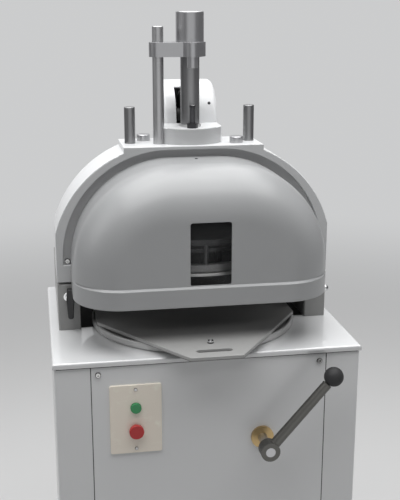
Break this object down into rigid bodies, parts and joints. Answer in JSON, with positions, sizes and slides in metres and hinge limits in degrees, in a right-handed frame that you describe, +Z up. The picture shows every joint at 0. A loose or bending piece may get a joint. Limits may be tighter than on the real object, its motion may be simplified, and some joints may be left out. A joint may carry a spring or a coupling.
{
  "type": "dough divider",
  "caption": "Floor-standing dough divider and rounder: a cabinet with a worktop, an arched press head with a windowed cover on pedestals, and an orbiting table with a loose dough plate.",
  "frame": {"origin": "on the floor, under the middle of the whole machine's bounding box", "axes": "+Z up, -Y towards the user's side with the hand lever, +X to the right as the user sees it"},
  "size_m": [0.64, 0.61, 1.524],
  "materials": {
    "white_paint": "smooth gloss paint",
    "frame_paint": "dark satin paint",
    "chrome": "polished plating",
    "steel": "machined",
    "dark_steel": "darkened",
    "screw_zinc": "zinc-plated",
    "ring_metal": "turned",
    "cast": "as cast",
    "motor_paint": "grey machine paint",
    "table_metal": "satin",
    "plate_grey": "smooth satin",
    "black_plastic": "satin",
    "knob_plastic": "satin",
    "beige_plastic": "satin",
    "green_plastic": "gloss",
    "red_plastic": "gloss",
    "belt_rubber": "matt",
    "bush_bronze": "turned",
    "clear_pane": "clear"
  },
  "bodies": {
    "cabinet": {"worktop": "white_paint", "bed_mat": "belt_rubber", "left_side_panel": "white_paint", "right_side_panel": "white_paint", "front_panel": "white_paint", "back_panel": "white_paint", "base_plate": "frame_paint", "levelling_feet": "dark_steel", "panel_screws": "screw_zinc", "main_frame": "frame_paint", "crank_bearings": "frame_paint", "drive_belt": "belt_rubber", "drive_motor": "motor_paint", "left_pedestal": "white_paint", "right_pedestal": "white_paint", "hinge_pins": "steel", "rear_guard": "frame_paint", "dome_nut": "chrome", "lever_bush": "bush_bronze", "cam_switch": "black_plastic", "switch_plate": "beige_plastic", "control_box": "black_plastic", "cable_gland": "black_plastic"},
    "latch": {"latch_lever": "black_plastic", "latch_spindle": "chrome"},
    "head": {"arch_bridge": "white_paint", "front_cover": "white_paint", "window_pane": "clear_pane", "rear_cover": "white_paint", "cover_screws": "screw_zinc", "ram_boss": "white_paint", "ram_seal": "belt_rubber", "tall_post": "chrome", "pad_caps": "steel", "depth_stop": "dark_steel", "gear_hood": "white_paint", "pinion_bearing": "cast", "press_motor": "motor_paint"},
    "press": {"ram": "chrome", "carriage": "cast", "guide_posts": "chrome", "dough_ring": "ring_metal", "plungers": "table_metal", "crosshead": "steel", "knife_cylinder": "steel"},
    "knife": {"knife_grid": "steel", "knife_rod": "chrome"},
    "pinion": {"press_pinion": "steel"},
    "crank": {"crank_shaft": "steel", "driven_pulley": "cast"},
    "table": {"round_table": "table_metal"},
    "idler_left": {"idler_crank_left": "steel"},
    "idler_right": {"idler_crank_right": "steel"},
    "rotor": {"motor_pulley": "cast"},
    "plate": {"dough_plate": "plate_grey"},
    "hand_lever": {"lever_arm": "steel", "ball_knob": "knob_plastic", "lever_shaft": "steel"},
    "start_switch": {"start_button": "green_plastic"},
    "stop_switch": {"stop_button": "red_plastic"}
  },
  "joints": [
    {"name": "head_tilt", "type": "hinge", "parent": "cabinet", "child": "head", "pos_m": [0, 0.275, 0.976], "axis": [-1, 0, 0], "range_deg": [0, 45]},
    {"name": "latch_turn", "type": "hinge", "parent": "cabinet", "child": "latch", "pos_m": [-0.2785, -0.025, 0.928], "axis": [0, 1, 0], "range_deg": [0, 90]},
    {"name": "press_slide", "type": "slide", "parent": "head", "child": "press", "axis": [0, 0, -1], "range_m": [0, 0.076]},
    {"name": "pinion_turn", "type": "hinge", "parent": "head", "child": "pinion", "pos_m": [0, 0.1045, 1.295], "axis": [1, 0, 0], "range_deg": [-2, 88]},
    {"name": "knife_slide", "type": "slide", "parent": "press", "child": "knife", "axis": [0, 0, -1], "range_m": [0, 0.036]},
    {"name": "crank_spin", "type": "hinge", "parent": "cabinet", "child": "crank", "pos_m": [0, 0.034, 0.812], "axis": [0, 0, 1], "continuous": true},
    {"name": "table_orbit", "type": "hinge", "parent": "crank", "child": "table", "pos_m": [0, 0.009, 0.85], "axis": [0, 0, 1], "continuous": true},
    {"name": "idler_left_spin", "type": "hinge", "parent": "cabinet", "child": "idler_left", "pos_m": [-0.12124, 0.104, 0.812], "axis": [0, 0, 1], "continuous": true},
    {"name": "idler_right_spin", "type": "hinge", "parent": "cabinet", "child": "idler_right", "pos_m": [0.12124, 0.104, 0.812], "axis": [0, 0, 1], "continuous": true},
    {"name": "motor_spin", "type": "hinge", "parent": "cabinet", "child": "rotor", "pos_m": [0, -0.116, 0.634], "axis": [0, 0, 1], "continuous": true},
    {"name": "plate_slide", "type": "slide", "parent": "table", "child": "plate", "axis": [0, -1, 0], "range_m": [0, 0.3]},
    {"name": "lever_swing", "type": "hinge", "parent": "cabinet", "child": "hand_lever", "pos_m": [0.11, -0.285, 0.659], "axis": [0, 1, 0], "range_deg": [0, 30]},
    {"name": "start_press", "type": "slide", "parent": "cabinet", "child": "start_switch", "axis": [0, 1, 0], "range_m": [0, 0.004], "stiffness_N_per_m": 500},
    {"name": "stop_press", "type": "slide", "parent": "cabinet", "child": "stop_switch", "axis": [0, 1, 0], "range_m": [0, 0.004], "stiffness_N_per_m": 500}
  ],
  "couplings": [
    {"joint": "pinion_turn", "follows": "press_slide", "rad_per_m": 18.519},
    {"joint": "table_orbit", "follows": "crank_spin", "ratio": -1},
    {"joint": "idler_left_spin", "follows": "crank_spin", "ratio": 1},
    {"joint": "idler_right_spin", "follows": "crank_spin", "ratio": 1},
    {"joint": "motor_spin", "follows": "crank_spin", "ratio": 3}
  ]
}
